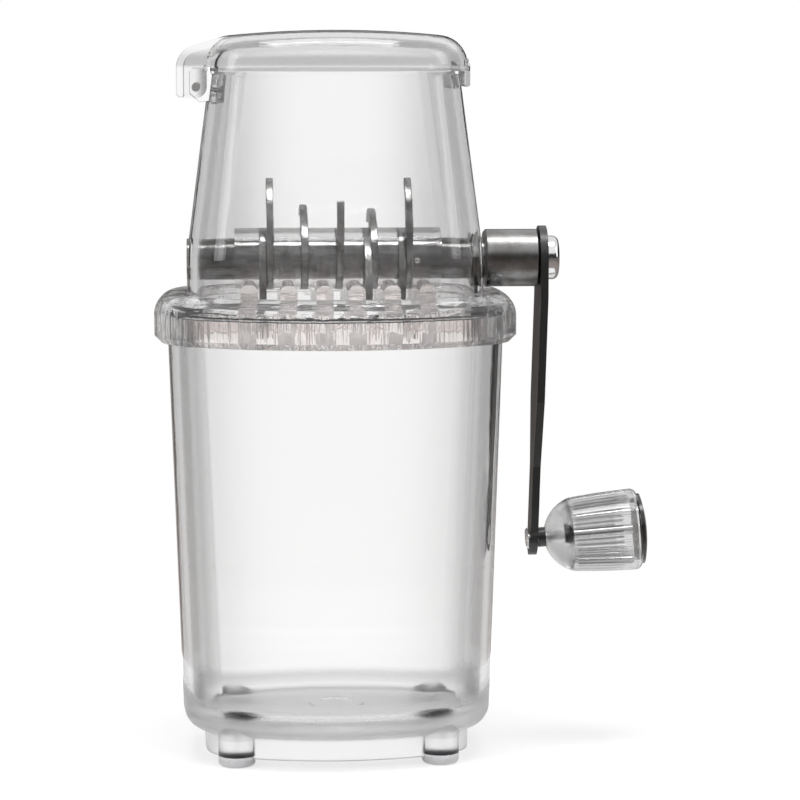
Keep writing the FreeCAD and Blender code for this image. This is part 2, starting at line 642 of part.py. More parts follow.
def make_hopper():
    inside = hopper_form("hopper_inside", "hopper_wall")
    flange = oval_block("hopper_flange", "flange_level", "flange_thickness",
                        "jar_rim_half_width", "jar_rim_half_depth", "jar_corner",
                        "fit_gap - rim_gap")
    solid = fuse("hopper_solid", hopper_form("hopper_outside", "0"), flange)
    shell = cut("hopper_shell", solid, inside)
    step = oval_ring("hopper_step", "hopper_top - join_depth", "join_depth + rim_step_height",
                     "hopper_top_half_width", "hopper_top_half_depth", "hopper_top_corner",
                     "rim_step_wall", "hopper_wall - rim_step_wall")
    ear = new_body("hinge_ear")
    inner = "-(hopper_top_half_width - hopper_wall / 2)"
    ear_outline = profile(ear, "outline", "XZ_Plane", [
        (inner, "ear_bottom"),
        (inner, "hopper_top"),
        ("-(hinge_x - ear_root)", "hopper_top"),
        ("-(hinge_x - ear_root + ear_slant)", "ear_top"),
        ("-(ear_reach - ear_slant)", "ear_top"),
        ("-ear_reach", "ear_top - ear_slant"),
        ("-ear_reach", "hinge_height - ear_stand"),
        ("-(hinge_x - ear_slant)", "ear_bottom"),
    ])
    pad(ear, "pad", ear_outline, "2 * (hood_half_width - hood_wall - ear_side_gap)",
        symmetric=True)
    bores = fuse(
        "hopper_bores",
        rod("bearing_seat", "shaft_diameter + 2 * fit_gap", "2 * hopper_wall",
            "-(hopper_half_width + cut_room)", "0", "shaft_height", along="X"),
        rod("shaft_bore", "shaft_diameter + 2 * running_gap", "2 * hopper_wall",
            "hopper_half_width - hopper_wall - cut_room", "0", "shaft_height", along="X"),
        rod("ear_bore", "hinge_pin_diameter + 2 * press_gap", "2 * hood_half_width",
            "-hinge_x", "-hood_half_width", "hinge_height", along="Y"),
    )
    keep(cut("hopper", fuse("hopper_whole", shell, step, ear), bores))


def make_hinge_pin():
    keep(rod("hinge_pin", "hinge_pin_diameter", "2 * (hood_half_width + hinge_pin_stand)",
             "-hinge_x", "-(hood_half_width + hinge_pin_stand)", "hinge_height", along="Y"))


# Rotor: claws and clear sleeves in turn along the shaft
STATIONS = [
    (0, 180),
    (-52, None),
    (45, None),
    (-58, 128),
    (0, 180),
]
HALF_BLADE = "(blade_thickness / 2)"


def upright_place(station):
    """Middle of the claw that stands up at a station."""
    return f"(first_blade + {station} * blade_pitch)"


def station_start(station):
    """Left side of a station, which holds one claw or two side by side."""
    upright, hanging = STATIONS[station]
    thickness = 0.5 if hanging is None else 1.5
    return f"({upright_place(station)} - {thickness} * blade_thickness)"


def station_end(station):
    return f"({upright_place(station)} + {HALF_BLADE})"


def gap_bounds():
    """Ends of the clear stretches of the hub, left to right."""
    starts = ["-hub_left"] + [station_end(index) for index in range(len(STATIONS))]
    ends = [station_start(index) for index in range(len(STATIONS))] + ["hub_right"]
    return list(zip(starts, ends))


def make_blades():
    """Each claw is one flat plate: a ring with a curved horn that grows out of it."""
    round_key = rod("round_key", "shaft_diameter", "hub_left + hub_right", "-hub_left", "0",
                    "shaft_height", "X")
    flat = box("key_flat", "hub_left + hub_right", "shaft_diameter", "2 * shaft_diameter",
               "-hub_left", "shaft_diameter / 2 - shaft_flat", "shaft_height - shaft_diameter")
    key = cut("blade_key", round_key, flat)
    count = 0
    for station, (upright, hanging) in enumerate(STATIONS):
        middle = upright_place(station)
        turns = [(upright, middle, 0)]
        if hanging is not None:
            turns.insert(0, (180 - hanging, f"{middle} - blade_thickness", 180))
        for turn, x, flip in turns:
            count += 1
            claw = new_body(f"claw_{count}")
            root = "hub_diameter / 2"
            inner_y = "(horn_width - hub_diameter / 2)"
            seam = f"sqrt(({root})^2 - ring_seam^2)"
            outline = profile(claw, "outline", "YZ_Plane", [
                (f"-sqrt(({root})^2 - horn_root_drop^2)", "-horn_root_drop", root),
                ("ring_seam", f"-{seam}", root),
                ("ring_seam", seam, root),
                (inner_y, f"sqrt(({root})^2 - {inner_y}^2)", "-horn_inner_radius"),
                ("horn_lean + horn_tip * cos(horn_cut)", "horn_reach - horn_tip * sin(horn_cut)"),
                ("horn_lean", "horn_reach", "horn_outer_radius"),
            ], f"-{HALF_BLADE}")
            pad(claw, "plate", outline, "blade_thickness")
            rotation = FreeCAD.Rotation(FreeCAD.Vector(1, 0, 0), turn)
            if flip:
                rotation = FreeCAD.Rotation(FreeCAD.Vector(0, 1, 0), flip).multiply(rotation)
            claw.Placement = FreeCAD.Placement(FreeCAD.Vector(), rotation)
            place(claw, x, "0", "shaft_height")
            keep(cut(f"blade_{count}", claw, key))


def make_hub_spacers():
    bounds = gap_bounds()
    for index, (start, end) in enumerate(bounds, 1):
        length = f"({end}) - ({start})"
        outer = rod(f"sleeve_{index}", "hub_diameter", length, start, "0", "shaft_height", "X")
        bore = rod(f"sleeve_bore_{index}", "shaft_diameter + press_gap", length, start, "0",
                   "shaft_height", "X")
        sleeve = cut(f"plain_spacer_{index}" if index == len(bounds) else f"hub_spacer_{index}",
                     outer, bore)
        if index < len(bounds):
            keep(sleeve)
            continue
        hole = rod("lock_pin_hole", "lock_pin_diameter", "hub_diameter", "lock_pin_place",
                   "-hub_diameter / 2", "shaft_height", "Y")
        keep(cut(f"hub_spacer_{index}", sleeve, hole))


def make_lock_pin():
    keep(rod("lock_pin", "lock_pin_diameter", "hub_diameter - 2 * fit_gap", "lock_pin_place",
             "-hub_diameter / 2 + fit_gap", "shaft_height", "Y"))


def make_shaft():
    body = new_body("shaft_turned")
    step = "-(hopper_half_width - journal_step - end_gap)"
    left = "-(hopper_half_width - end_gap)"
    outline = profile(body, "outline", "XZ_Plane", [
        (left, "0"),
        ("bush_end", "0"),
        ("bush_end", "shaft_diameter / 2"),
        (step, "shaft_diameter / 2"),
        (step, "journal_diameter / 2"),
        (f"{left} + journal_chamfer", "journal_diameter / 2"),
        (left, "journal_diameter / 2 - journal_chamfer"),
    ])
    revolve(body, "turned", outline)
    tenon = rectangle(body, "tenon", "YZ_Plane", "-tenon_width / 2", "-tenon_width / 2",
                      "tenon_width / 2", "tenon_width / 2", "bush_end - join_depth")
    pad(body, "tenon_pad", tenon, "join_depth + arm_thickness - fit_gap")
    flat = rectangle(body, "flat", "YZ_Plane", "shaft_diameter / 2 - shaft_flat",
                     "-shaft_diameter", "shaft_diameter", "shaft_diameter", "-hub_left")
    pocket(body, "flat_cut", flat, "hub_left + hub_right", onward=True)
    thread = circle_sketch(body, "thread", "YZ_Plane", "screw_shank_diameter + 2 * press_gap",
                           "arm_outside - screw_shank_length - end_gap")
    pocket(body, "thread_bore", thread, "screw_shank_length + cut_room", onward=True)
    place(body, "0", "0", "shaft_height")
    hole = rod("shaft_pin_hole", "lock_pin_diameter", "hub_diameter", "lock_pin_place",
               "-hub_diameter / 2", "shaft_height", "Y")
    keep(cut("drive_shaft", body, hole))


def make_left_bearing():
    outer = rod("bearing_outside", "shaft_diameter", "journal_step", "-hopper_half_width", "0",
                "shaft_height", "X")
    bore = rod("bearing_bore", "journal_diameter + 2 * running_gap", "journal_step",
               "-hopper_half_width", "0", "shaft_height", "X")
    keep(cut("left_bearing", outer, bore))


# Fixed grate under the rotor
def make_grate():
    bars = []
    bounds = gap_bounds()
    side = "(bar_width / 2 + end_bar_gap)"
    centres = [f"({start} + {end}) / 2" for start, end in bounds[1:-1]]
    centres.insert(0, f"{station_start(0)} - {side}")
    centres.append(f"{station_end(len(STATIONS) - 1)} + {side}")
    saddle = "(hub_diameter / 2 + bar_gap)"
    dip = "(shaft_height - bar_shoulder)"
    half_saddle = f"sqrt({saddle}^2 - {dip}^2)"
    for index, centre in enumerate(centres, 1):
        bar = new_body(f"bar_{index}")
        outline = profile(bar, "outline", "YZ_Plane", [
            ("-hopper_half_depth", "grate_bottom"),
            ("hopper_half_depth", "grate_bottom"),
            ("hopper_half_depth", "bar_shoulder"),
            (half_saddle, "bar_shoulder", f"-{saddle}"),
            (f"-{half_saddle}", "bar_shoulder"),
            ("-hopper_half_depth", "bar_shoulder"),
        ])
        pad(bar, "pad", outline, "bar_width", symmetric=True)
        on_top = at_level("bar_shoulder")
        dress(bar, "Fillet", "round", "bar_round",
              lambda edge: on_top(edge) and edge.BoundBox.YLength > edge.BoundBox.XLength)
        place(bar, centre)
        bars.append(bar)
    envelope = oval_block("grate_envelope", "grate_bottom", "bar_shoulder - grate_bottom",
                          "hopper_half_width", "hopper_half_depth", "hopper_corner",
                          "hopper_wall + fit_gap")
    trimmed = common("grate_bars", fuse("bar_row", *bars), envelope)
    frame = oval_ring("grate_frame", "grate_bottom", "flange_level - grate_bottom",
                      "jar_rim_half_width", "jar_rim_half_depth", "jar_corner",
                      "grate_rim", "jar_wall + rim_gap")
    holes = []
    for side_name, sign in (("left", "-"), ("right", "")):
        x = f"{sign}({SCREW_PLACE})"
        holes.append(rod(f"grate_hole_{side_name}", "grate_screw_diameter + 2 * fit_gap",
                         "flange_level - grate_bottom", x, "0", "grate_bottom"))
        holes.append(rod(f"grate_sink_{side_name}", "grate_screw_head + 2 * screw_room",
                         "grate_screw_head_height + screw_room", x, "0", "grate_bottom"))
    whole = fuse("grate_whole", frame, trimmed)
    keep(cut("grate", whole, fuse("grate_holes", *holes)))


SCREW_PLACE = "(jar_rim_half_width - jar_wall - rim_gap - grate_rim / 2)"


def make_grate_screws():
    screws = []
    for side_name, sign in (("left", "-"), ("right", "")):
        body = new_body(f"grate_screw_{side_name}")
        low = "(grate_bottom + screw_room)"
        top = "(flange_level + grate_screw_depth)"
        outline = profile(body, "outline", "XZ_Plane", [
            ("0", low),
            ("grate_screw_head / 2", low),
            ("grate_screw_head / 2", f"{low} + grate_screw_head_height"),
            ("grate_screw_diameter / 2", f"{low} + grate_screw_head_height"),
            ("grate_screw_diameter / 2", f"{top} - grate_screw_point"),
            ("0", top),
        ])
        revolve(body, "turned", outline, "V_Axis")
        place(body, f"{sign}({SCREW_PLACE})")
        screws.append(body)
    pair = doc.addObject("Part::Compound", "grate_screws")
    pair.Links = screws
    keep(pair)


# Crank
def make_bush():
    body = new_body("crank_bush")
    outline = profile(body, "outline", "XZ_Plane", [
        ("bush_start", "shaft_diameter / 2 + press_gap"),
        ("bush_end", "shaft_diameter / 2 + press_gap"),
        ("bush_end", "bush_diameter / 2 - bush_chamfer"),
        ("bush_end - bush_chamfer", "bush_diameter / 2"),
        ("bush_start + bush_chamfer", "bush_diameter / 2"),
        ("bush_start", "bush_diameter / 2 - bush_chamfer"),
    ])
    revolve(body, "turned", outline)
    place(body, "0", "0", "shaft_height")
    keep(body)


LEAN = "tan(arm_lean)"
FOOT_SHIFT = f"((throw - arm_bend_drop) * {LEAN})"
KNOB_X = f"(arm_outside - {FOOT_SHIFT})"
KNOB_Z = "(shaft_height - throw)"


def make_arm():
    strip = new_body("arm_strip")
    low = "(throw + arm_foot_radius + cut_room)"
    shift = f"(({low} - arm_bend_drop) * {LEAN})"
    bend = "(shaft_height - arm_bend_drop)"
    top = "(shaft_height + arm_top_radius + cut_room)"
    strip_outline = profile(strip, "outline", "XZ_Plane", [
        ("bush_end", bend),
        (f"bush_end - {shift}", f"shaft_height - {low}"),
        (f"arm_outside - {shift}", f"shaft_height - {low}"),
        ("arm_outside", bend),
        ("arm_outside", top),
        ("bush_end", top),
    ])
    pad(strip, "pad", strip_outline, "2 * (arm_top_radius + cut_room)", symmetric=True)
    blade = new_body("arm_outline")
    start = f"(bush_end - {shift} - cut_room)"
    depth = f"(arm_thickness + {shift} + 2 * cut_room)"
    plate = profile(blade, "plate", "YZ_Plane", [
        ("-arm_top_radius", "shaft_height"),
        ("-arm_top_radius", "shaft_height - arm_shoulder_drop"),
        ("-arm_waist_width / 2", "shaft_height - arm_waist_drop"),
        ("-arm_waist_width / 2", KNOB_Z),
        ("arm_waist_width / 2", KNOB_Z),
        ("arm_waist_width / 2", "shaft_height - arm_waist_drop"),
        ("arm_top_radius", "shaft_height - arm_shoulder_drop"),
        ("arm_top_radius", "shaft_height"),
    ], start)
    pad(blade, "plate_pad", plate, depth)
    outline = fuse(
        "arm_silhouette", blade,
        rod("arm_top", "2 * arm_top_radius", depth, start, "0", "shaft_height", "X"),
        rod("arm_foot", "2 * arm_foot_radius", depth, start, "0", KNOB_Z, "X"),
    )
    tenon_size = "tenon_width + 2 * fit_gap"
    holes = fuse(
        "arm_holes",
        box("tenon_hole", depth, tenon_size, tenon_size, start,
            f"-({tenon_size}) / 2", f"shaft_height - ({tenon_size}) / 2"),
        along_knob(rod("spindle_hole", "spindle_diameter + 2 * fit_gap", "4 * arm_thickness"),
                   "-2.5 * arm_thickness"),
    )
    keep(cut("crank_arm", common("arm_plate", strip, outline), holes))


def make_crank_screw():
    body = new_body("crank_screw")
    outline = profile(body, "outline", "XZ_Plane", [
        ("arm_outside - screw_shank_length", "0"),
        ("arm_outside + screw_head_height", "0"),
        ("arm_outside + screw_head_height", "screw_head_diameter / 2"),
        ("arm_outside", "screw_head_diameter / 2"),
        ("arm_outside", "screw_shank_diameter / 2"),
        ("arm_outside - screw_shank_length", "screw_shank_diameter / 2"),
    ])
    revolve(body, "turned", outline)
    face = "arm_outside + screw_head_height"
    dress(body, "Fillet", "head_round", "screw_head_round", at_level(face, "X"))
    slot = rectangle(body, "slot", "YZ_Plane", "-screw_slot_width / 2", "-screw_head_diameter",
                     "screw_slot_width / 2", "screw_head_diameter", face)
    pocket(body, "slot_cut", slot, "screw_slot_depth")
    place(body, "0", "0", "shaft_height")
    keep(body)


# Knob, made about its own axis and then set on the arm's foot at its tilt
def along_knob(piece, start):
    """Lays a piece that was made along +Z onto the knob's axis, from start onwards."""
    piece.Placement = FreeCAD.Placement()
    piece.setExpression("Placement.Rotation.Axis.y", "1")
    piece.setExpression("Placement.Rotation.Axis.x", "0")
    piece.setExpression("Placement.Rotation.Axis.z", "0")
    piece.setExpression("Placement.Rotation.Angle", bound("90 - knob_tilt"))
    place(piece, f"{KNOB_X} + ({start}) * cos(knob_tilt)", "0",
          f"{KNOB_Z} + ({start}) * sin(knob_tilt)")
    return piece


WASHER_START = "skew_gap"
GRIP_START = "(skew_gap + neck_washer_thickness + end_gap)"
CAP_START = "(knob_length - cap_inset)"
SPINDLE_END = f"({GRIP_START} + {CAP_START} - spindle_room)"
CLIP_START = f"({GRIP_START} + knob_boss_length + end_gap)"


def make_knob_spindle():
    body = new_body("knob_spindle")
    head = "-(arm_thickness + skew_gap)"
    outline = profile(body, "outline", "XZ_Plane", [
        ("0", f"{head} - rivet_height"),
        ("rivet_diameter / 2 - rivet_height", f"{head} - rivet_height"),
        ("rivet_diameter / 2", head),
        ("spindle_diameter / 2", head),
        ("spindle_diameter / 2", SPINDLE_END),
        ("0", SPINDLE_END),
    ])
    revolve(body, "turned", outline, "V_Axis")
    keep(along_knob(body, "0"))


def washer(name, diameter, thickness, start):
    outer = rod(f"{name}_outside", diameter, thickness)
    bore = rod(f"{name}_bore", "spindle_diameter + press_gap", thickness)
    ring = cut(name, outer, bore)
    keep(along_knob(ring, start))


CAP_LEDGE = f"({CAP_START} - fit_gap)"
CAP_SEAT = "(knob_end_radius - cap_rim)"


def make_knob_grip():
    body = new_body("knob_grip")
    bore = "(spindle_diameter / 2 + running_gap)"
    dome = "(knob_dome_radius - knob_wall)"
    inside = "(knob_wide_radius - knob_wall)"
    hollow_end = f"({CAP_LEDGE} - cap_ledge_depth)"
    outline = profile(body, "outline", "XZ_Plane", [
        (bore, "0"),
        ("knob_neck_radius", "0", "knob_dome_round"),
        ("knob_dome_radius", "knob_dome_length", "knob_side_radius"),
        ("knob_wide_radius", "knob_wide_place", "knob_end_round"),
        ("knob_end_radius", "knob_length"),
        (CAP_SEAT, "knob_length"),
        (CAP_SEAT, CAP_LEDGE),
        (f"{CAP_SEAT} - cap_ledge_width", CAP_LEDGE),
        (f"{CAP_SEAT} - cap_ledge_width", hollow_end),
        (inside, hollow_end),
        (dome, "knob_dome_length"),
        ("knob_boss_radius", "knob_boss_length"),
        (bore, "knob_boss_length"),
    ])
    revolve(body, "turned", outline, "V_Axis")
    doc.recompute()
    flute = body.newObject("PartDesign::Groove", "knob_grip_flute")
    flute.Profile = profile(body, "flute_outline", "XZ_Plane", [
        (f"{dome} - flute_clear", "knob_dome_length + flute_start"),
        (f"{dome} + flute_depth", "knob_dome_length + flute_start"),
        (f"{inside} + flute_depth", f"{hollow_end} - flute_inset"),
        (f"{inside} - flute_clear", f"{hollow_end} - flute_inset"),
    ])
    flute.ReferenceAxis = (flute.Profile[0], ["V_Axis"])
    flute.Midplane = True
    flute.setExpression("Angle", bound("180 / flute_count"))
    body.Tip = flute
    doc.recompute()
    row = body.newObject("PartDesign::PolarPattern", "knob_grip_flutes")
    row.Originals = [flute]
    axis = next(item for item in body.Origin.OriginFeatures if item.Role == "Z_Axis")
    row.Axis = (axis, [""])
    row.Angle = 360
    row.setExpression("Occurrences", bound("flute_count"))
    body.Tip = row
    keep(along_knob(body, GRIP_START))


def make_knob_cap():
    body = new_body("knob_cap")
    rim = f"({CAP_SEAT} - fit_gap)"
    outline = profile(body, "outline", "XZ_Plane", [
        ("0", CAP_START),
        (rim, CAP_START),
        (rim, f"{CAP_START} + cap_thickness", f"({rim}^2 + cap_crown^2) / (2 * cap_crown)"),
        ("0", f"{CAP_START} + cap_thickness + cap_crown"),
    ])
    revolve(body, "turned", outline, "V_Axis")
    keep(along_knob(body, GRIP_START))


# Lid with its hood and tab
def crowned_block(name, top, inset, corner_round):
    """The lid's outline under a top that falls away to the left and right, its edge rounded."""
    body = oval_block(name, "lid_level", f"{top} - lid_level", "lid_half_width",
                      "lid_half_depth", "lid_corner", inset)
    beside = "(lid_half_width + cut_room)"
    edge = f"({top} - lid_crown_radius + sqrt(lid_crown_radius^2 - {beside}^2))"
    above = profile(body, "crown", "XZ_Plane", [
        (f"-{beside}", edge, "-lid_crown_radius"),
        (beside, edge),
        (beside, f"{top} + cut_room"),
        (f"-{beside}", f"{top} + cut_room"),
    ])
    pocket(body, "crown_cut", above, "2 * (lid_half_depth + cut_room)", symmetric=True)
    lowest = number(edge)
    dress(body, "Fillet", "shoulder", corner_round,
          lambda line: line.BoundBox.ZMin > lowest - SAME_LEVEL)
    return body


def make_lid():
    top = "(lid_level + lid_height)"
    outside = crowned_block("lid_outside", top, "0", "lid_round")
    inside = crowned_block("lid_inside", f"({top} - lid_wall)", "lid_wall",
                           "lid_round - lid_wall")
    bead = oval_block("lid_bead", "lid_level", "lip_height", "lid_half_width", "lid_half_depth",
                      "lid_corner", "-lip_thickness")
    hood = new_body("hood_outside")
    cheek_right = "-(hinge_x - hood_cheek_round)"
    root = "(hood_reach - hood_root)"
    root_level = f"({top} - {root}^2 / (2 * lid_crown_radius) - hood_sink)"
    corner_x = "(hood_reach - hood_round)"
    across, up = "sin(hood_slope)", "cos(hood_slope)"
    hollow_round = "(hood_round - hood_wall)"
    hollow_x = f"({corner_x} + {hollow_round} * {across})"
    hollow_right = "(lid_half_width - hood_hollow_reach)"
    hollow_level = f"(hood_shoulder + {hollow_round} * {up})"
    hood_outline = profile(hood, "outline", "XZ_Plane", [
        (cheek_right, "hinge_height"),
        (cheek_right, "lid_level + join_depth"),
        (f"-{root}", "lid_level + join_depth"),
        (f"-{root}", root_level, "hood_top_radius"),
        (f"-({corner_x} + hood_round * {across})", f"hood_shoulder + hood_round * {up}",
         "hood_round"),
        ("-hood_reach", "hood_shoulder"),
        ("-hood_reach", "hood_bottom + hood_edge"),
        ("-(hood_reach - hood_edge)", "hood_bottom"),
        ("-(hinge_x + hood_edge)", "hood_bottom"),
        ("-hinge_x", "hinge_height - hood_cheek_round", "hood_cheek_round"),
    ])
    pad(hood, "pad", hood_outline, "2 * hood_half_width", symmetric=True)
    hollow = new_body("hood_inside")
    hollow_outline = profile(hollow, "outline", "XZ_Plane", [
        ("-(hood_reach - hood_wall)", "hood_bottom - cut_room"),
        (f"-{hollow_right}", "hood_bottom - cut_room"),
        (f"-{hollow_right}",
         f"{hollow_level} + ({hollow_x} - {hollow_right}) * tan(0.8 * hood_slope)"),
        (f"-{hollow_x}", hollow_level, hollow_round),
        ("-(hood_reach - hood_wall)", "hood_shoulder"),
    ])
    pad(hollow, "pad", hollow_outline, "2 * (hood_half_width - hood_wall)", symmetric=True)
    tab = new_body("lid_tab")
    tab_inside = "(tab_reach - tab_wall)"
    tab_low = "(lid_level - tab_drop)"
    tab_outline = profile(tab, "outline", "XZ_Plane", [
        ("lid_half_width - lid_wall", "lid_level + join_depth"),
        (tab_inside, "lid_level"),
        (tab_inside, f"{tab_low} + tab_edge"),
        (f"{tab_inside} + tab_edge", tab_low),
        ("tab_reach - tab_edge", tab_low),
        ("tab_reach", f"{tab_low} + tab_edge"),
        ("tab_reach", "lid_level + lip_height"),
        ("lid_half_width - tab_sink", "lid_level + tab_rise"),
        ("lid_half_width - lid_wall", "lid_level + tab_rise"),
    ])
    pad(tab, "pad", tab_outline, "2 * tab_half_width", symmetric=True)
    pin_bore = rod("lid_pin_bore", "hinge_pin_diameter + 2 * running_gap",
                   "2 * (hood_half_width + cut_room)", "-hinge_x", "-(hood_half_width + cut_room)",
                   "hinge_height", along="Y")
    solid = fuse("lid_solid", outside, bead, hood, tab)
    keep(cut("lid", solid, fuse("lid_hollow", inside, hollow, pin_bore)))


make_container()
make_foot_pads()
make_collar()
make_hopper()
make_hinge_pin()
make_left_bearing()
make_grate()
make_grate_screws()
make_shaft()
make_hub_spacers()
make_blades()
make_lock_pin()
make_bush()
make_arm()
make_crank_screw()
make_knob_spindle()
washer("knob_washer", "neck_washer_diameter", "neck_washer_thickness", WASHER_START)
washer("spindle_clip", "clip_diameter", "clip_thickness", CLIP_START)
make_knob_grip()
make_knob_cap()
make_lid()

doc.recompute()
failed = [item.Name for item in doc.Objects if {"Invalid", "Error"} & set(item.State)]
if failed:
    raise RuntimeError(f"these objects failed: {failed}")
for piece in nodes:
    if piece.Shape.isNull() or not piece.Shape.isValid() or not piece.Shape.Solids:
        raise RuntimeError(f"{piece.Label} has no valid shape")

os.makedirs("parts", exist_ok=True)
for piece in nodes:
    piece.Shape.exportStep(f"parts/{piece.Label}.step")
    print(piece.Label, len(piece.Shape.Solids), round(piece.Shape.Volume, 1))
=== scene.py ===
import math

import bmesh
import bpy
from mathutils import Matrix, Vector


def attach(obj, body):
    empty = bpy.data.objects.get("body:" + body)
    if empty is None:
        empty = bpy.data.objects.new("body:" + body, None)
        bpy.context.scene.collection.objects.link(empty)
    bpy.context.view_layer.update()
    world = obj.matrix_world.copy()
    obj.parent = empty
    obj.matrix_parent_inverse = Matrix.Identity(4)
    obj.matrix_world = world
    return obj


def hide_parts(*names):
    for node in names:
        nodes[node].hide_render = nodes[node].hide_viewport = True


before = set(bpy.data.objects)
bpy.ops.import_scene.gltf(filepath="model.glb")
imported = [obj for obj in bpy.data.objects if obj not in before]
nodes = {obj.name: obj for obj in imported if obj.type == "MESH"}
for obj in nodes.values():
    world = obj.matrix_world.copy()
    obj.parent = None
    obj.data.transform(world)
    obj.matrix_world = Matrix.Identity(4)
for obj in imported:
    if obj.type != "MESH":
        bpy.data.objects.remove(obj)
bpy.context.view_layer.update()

MM = 0.001

# Levels and places on the object, as built
POSTS_TOP = (8.8 * MM, 9.7 * MM)
JAR_BASE_TOP = (16.5 * MM, 20.5 * MM)
JAR_CORNER_REACH = 55 * MM
JAR_CORNER_LIFT = 11 * MM
RIBS_TOP = 154.5 * MM
RIBS_FADE = 0.6 * MM
LID_BRIM = (235.0 * MM, 235.4 * MM)
LID_BAND_LOW = (235.2 * MM, 236.8 * MM)
LID_BAND_HIGH = (238.5 * MM, 242.5 * MM)
HOOD_SIDE = -47.5 * MM
HOOD_FADE = 4 * MM
KNOB_PLACE = (69.989 * MM, 0.0, 72.9 * MM)
KNOB_TILT = math.radians(4.5)
KNOB_DOME_END = (8 * MM, 12 * MM)
FLUTES_START = (11.5 * MM, 13.5 * MM)
FLUTES_END = (28.5 * MM, 29.5 * MM)
FLUTE_COUNT = 44
CLAW_COUNT = 8
CLAW_ROUND = 0.8 * MM

# How plastics look
PLASTIC_BEND = 1.49
PLASTIC_GLOSS = 0.85
SMOOTH = 0.03
SLOW_WAVE = 0.02 * MM
SLOW_SCALE = 22.0


# Shader values
class Value:
    """A shader value that takes part in plain sums."""

    def __init__(self, paint, socket):
        self.paint, self.socket = paint, socket

    def sum(self, kind, *terms):
        """One step of arithmetic on this and other values or plain numbers."""
        node = self.paint.node("ShaderNodeMath", dict(enumerate(terms)), operation=kind)
        return node["Value"]

    def __add__(self, other):
        return self.sum("ADD", self, other)

    __radd__ = __add__

    def __sub__(self, other):
        return self.sum("SUBTRACT", self, other)

    def __rsub__(self, other):
        return self.sum("SUBTRACT", other, self)

    def __mul__(self, other):
        return self.sum("MULTIPLY", self, other)

    __rmul__ = __mul__

    def __truediv__(self, other):
        return self.sum("DIVIDE", self, other)

    def __pow__(self, other):
        return self.sum("POWER", self, other)

    def cosine(self):
        return self.sum("COSINE", self)

    def bearing(self, other):
        """Angle of the direction that has this value across and the other along."""
        return self.sum("ARCTAN2", self, other)

    def most(self, other):
        return self.sum("MAXIMUM", self, other)

    def step(self, low, high):
        """0 below low, 1 above high, smooth between them."""
        inputs = {"Value": self, "From Min": low, "From Max": high}
        node = self.paint.node("ShaderNodeMapRange", inputs, interpolation_type="SMOOTHSTEP")
        return node["Result"]


class Node:
    """A shader node whose outputs are read by name."""

    def __init__(self, paint, node):
        self.paint, self.made = paint, node

    def __getitem__(self, name):
        return Value(self.paint, self.made.outputs[name])


class Paint:
    """Nodes of one material or world."""

    def __init__(self, tree):
        self.tree = tree
        tree.nodes.clear()

    def node(self, kind, inputs=None, **settings):
        made = self.tree.nodes.new(kind)
        for name, setting in settings.items():
            setattr(made, name, setting)
        for name, value in (inputs or {}).items():
            if isinstance(value, Value):
                self.tree.links.new(value.socket, made.inputs[name])
            else:
                made.inputs[name].default_value = value
        return Node(self, made)

    def place(self):
        return self.node("ShaderNodeTexCoord")["Object"]

    def axes(self):
        split = self.node("ShaderNodeSeparateXYZ", {0: self.place()})
        return split["X"], split["Y"], split["Z"]

    def noise(self, scale, detail=2.0, stretch=(1, 1, 1), rough=0.5):
        moved = self.node("ShaderNodeMapping", {"Vector": self.place(), "Scale": stretch})
        inputs = {"Vector": moved["Vector"], "Scale": scale, "Detail": detail, "Roughness": rough}
        return self.node("ShaderNodeTexNoise", inputs)["Fac"]

    def mix(self, amount, first, second):
        """From the first colour at 0 to the second at 1."""
        node = self.node("ShaderNodeMix", data_type="RGBA")
        for name, value in (("Factor_Float", amount), ("A_Color", first), ("B_Color", second)):
            socket = next(s for s in node.made.inputs if s.identifier == name)
            if isinstance(value, Value):
                self.tree.links.new(value.socket, socket)
            else:
                socket.default_value = value
        return Value(self, next(s for s in node.made.outputs if s.identifier == "Result_Color"))

    def bump(self, height, distance, strength=1.0):
        inputs = {"Height": height, "Distance": distance, "Strength": strength}
        return self.node("ShaderNodeBump", inputs)["Normal"]

    def shade(self, surface):
        self.node("ShaderNodeOutputMaterial", {"Surface": surface})


def grey(level, warm=0.0):
    return (level * (1 + warm), level, level * (1 - warm), 1)


def material(name):
    made = bpy.data.materials.new(name)
    made.use_nodes = True
    return made, Paint(made.node_tree)


def principled(paint, inputs):
    paint.shade(paint.node("ShaderNodeBsdfPrincipled", inputs)["BSDF"])


def bare_plastic(made, paint, colour, roughness, bump, share=1.0, bend=PLASTIC_BEND):
    """Plastic of which a share is clear, and the rest milky."""
    principled(paint, {
        "Base Color": colour,
        "Roughness": roughness,
        "IOR": bend,
        "Specular Tint": grey(PLASTIC_GLOSS),
        "Transmission Weight": share,
        "Normal": bump,
    })
    return made


def wall_tint_and_shade(paint, tint, edge, turns, rim):
    """The tint with painted shade: grey where the wall turns away from the eye, paler again at the
    outermost rim.
    """
    facing = paint.node("ShaderNodeLayerWeight", {"Blend": 0.5})["Facing"]
    colour = paint.mix(facing.step(*turns), tint, edge)
    return paint.mix(facing.step(0.38, 0.6), colour, grey(rim))


def slow_waves(paint, depth=SLOW_WAVE):
    """The faint waves that flow leaves in a moulded wall."""
    return paint.bump(paint.noise(SLOW_SCALE, 2.0, (1, 1, 0.35)), depth)


def fine_specks(paint, rough):
    return paint.noise(900.0, 1.0).step(0.35, 0.75) * 0.03 + rough


def clear_plastic(name, tint, edge, turns=(0.0, 0.3), rim=0.85, rough=SMOOTH, share=1.0):
    """Clear moulded plastic."""
    made, paint = material(name)
    colour = wall_tint_and_shade(paint, tint, edge, turns, rim)
    return bare_plastic(made, paint, colour, fine_specks(paint, rough), slow_waves(paint), share)


